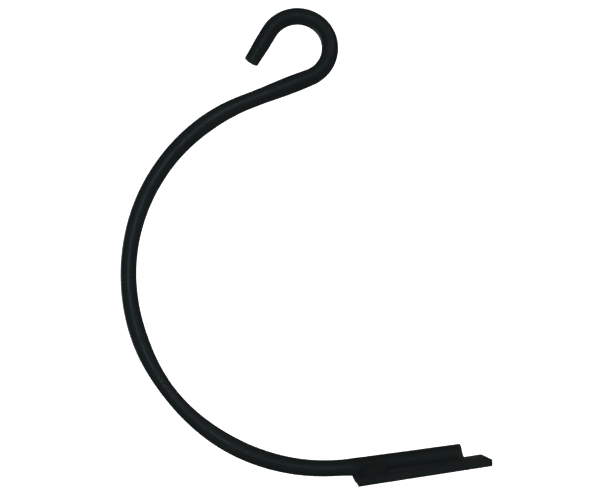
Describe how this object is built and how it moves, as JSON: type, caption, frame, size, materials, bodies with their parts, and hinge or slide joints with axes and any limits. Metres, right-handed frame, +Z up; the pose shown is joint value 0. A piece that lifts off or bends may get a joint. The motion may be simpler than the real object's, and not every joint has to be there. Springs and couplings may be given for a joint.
{
  "type": "razor stand",
  "caption": "Round black bar bent into an open C with a curled eye at its top, welded along one end to a small flat foot plate.",
  "frame": {"origin": "centre of the foot plate's underside", "axes": "+Z up, away from the surface that the foot plate is fixed to; +X along the foot plate, from the bar's bend towards its free end; +Y across the foot plate, the C's flat side facing -Y and +Y"},
  "size_m": [0.1289, 0.024, 0.1868],
  "materials": {
    "rod_black": "satin",
    "plate_black": "satin",
    "weld_black": "satin"
  },
  "bodies": {
    "root": {"hook_rod": "rod_black", "foot_plate": "plate_black", "weld_bead_front": "weld_black", "weld_bead_rear": "weld_black", "weld_bead_end": "weld_black"}
  },
  "joints": []
}
